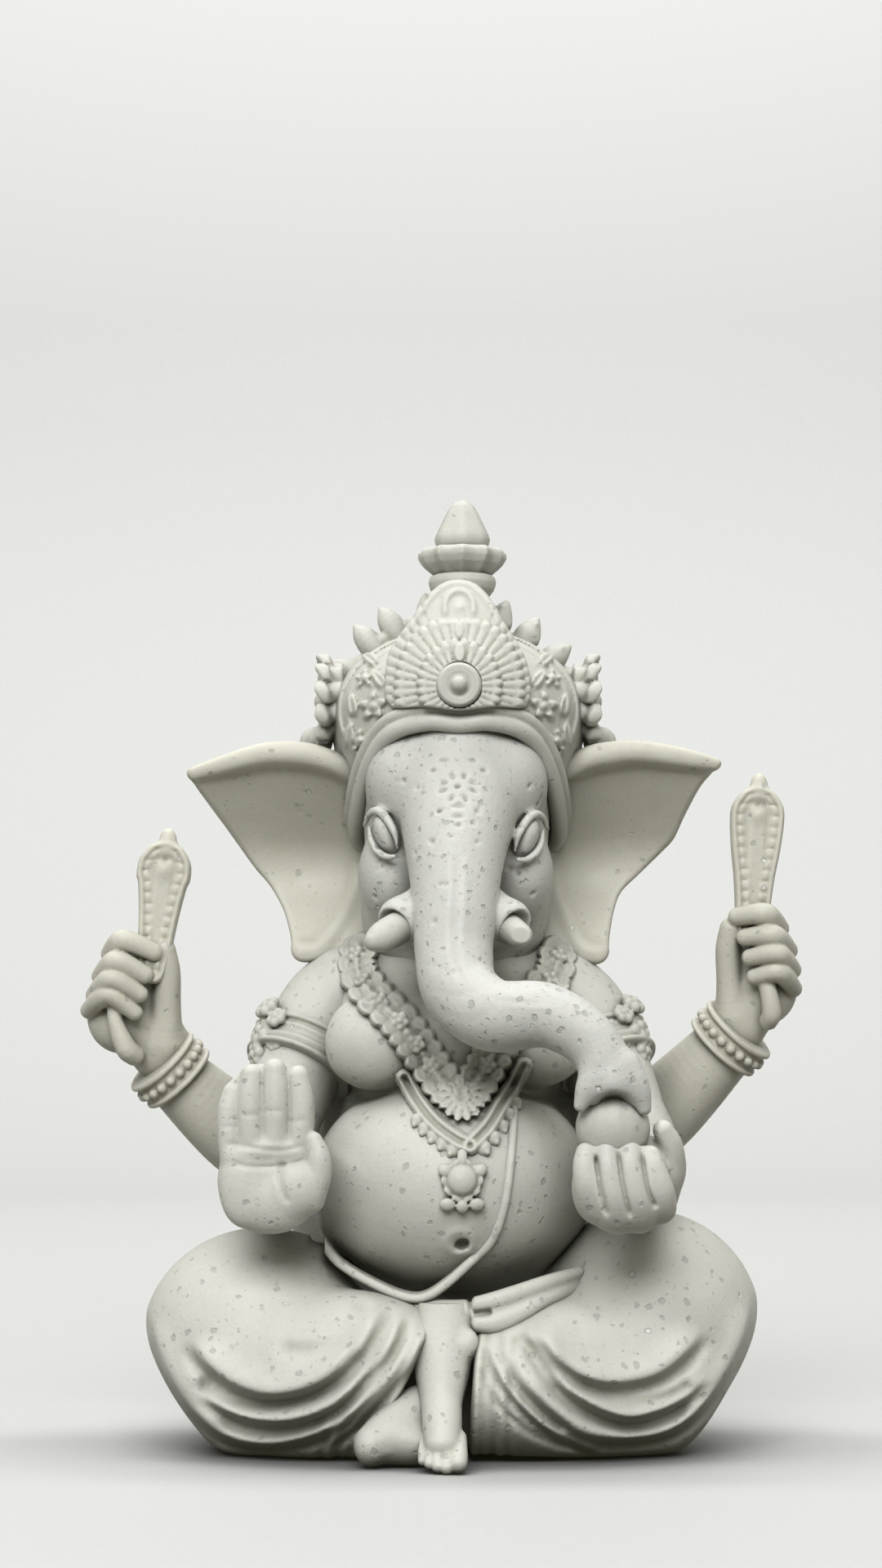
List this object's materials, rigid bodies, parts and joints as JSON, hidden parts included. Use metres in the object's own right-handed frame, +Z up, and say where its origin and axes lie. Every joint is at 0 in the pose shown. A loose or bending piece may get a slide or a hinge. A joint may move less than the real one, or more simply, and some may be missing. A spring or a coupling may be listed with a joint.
{
  "type": "ganesha idol",
  "caption": "Seated elephant-headed deity idol in cast marble resin, with a domed crown, spread ears, crossed legs, a raised palm and a sweet under the trunk.",
  "frame": {"origin": "on the flat underside that the idol rests on, below the middle of the figure", "axes": "+Z up through the crown's finial, -Y the way the face looks, +X towards the idol's own left hand"},
  "size_m": [0.1159, 0.0736, 0.15],
  "materials": {
    "marble_body": "satin cast marble with fine grey flecks",
    "marble_face": "satin cast marble, slightly cooler grey, with fine grey flecks",
    "marble_thin": "satin cast marble, creamier and more translucent where thin",
    "marble_ornament": "satin cast marble with crisp relief"
  },
  "bodies": {
    "root": {"torso": "marble_body", "right_leg": "marble_body", "left_leg": "marble_body", "right_foot": "marble_body", "left_foot": "marble_body", "right_front_upper_arm": "marble_body", "left_front_upper_arm": "marble_body", "right_front_forearm": "marble_body", "left_front_forearm": "marble_body", "raised_right_hand": "marble_body", "giving_left_hand": "marble_body", "sacred_thread": "marble_body", "waist_sash": "marble_body", "head": "marble_face", "trunk": "marble_face", "right_eye": "marble_face", "left_eye": "marble_face", "right_mace": "marble_thin", "left_mace": "marble_thin", "right_rear_upper_arm": "marble_thin", "left_rear_upper_arm": "marble_thin", "right_rear_forearm": "marble_thin", "left_rear_forearm": "marble_thin", "right_rear_hand": "marble_thin", "left_rear_hand": "marble_thin", "right_bracelet": "marble_thin", "left_bracelet": "marble_thin", "right_ear": "marble_thin", "left_ear": "marble_thin", "sweet": "marble_ornament", "right_tusk": "marble_ornament", "left_tusk": "marble_ornament", "crown_crest": "marble_ornament", "crown_dome": "marble_ornament", "crown_band": "marble_ornament", "crown_boss": "marble_ornament", "crown_plaque": "marble_ornament", "finial_tier": "marble_ornament", "finial_bowl": "marble_ornament", "finial_bud": "marble_ornament", "crown_rosette_right": "marble_ornament", "crown_rosette_left": "marble_ornament", "crown_tassel_right": "marble_ornament", "crown_tassel_left": "marble_ornament", "right_armlet": "marble_ornament", "left_armlet": "marble_ornament", "pendant": "marble_ornament", "long_necklace": "marble_ornament", "collar_garland": "marble_ornament"}
  },
  "joints": []
}
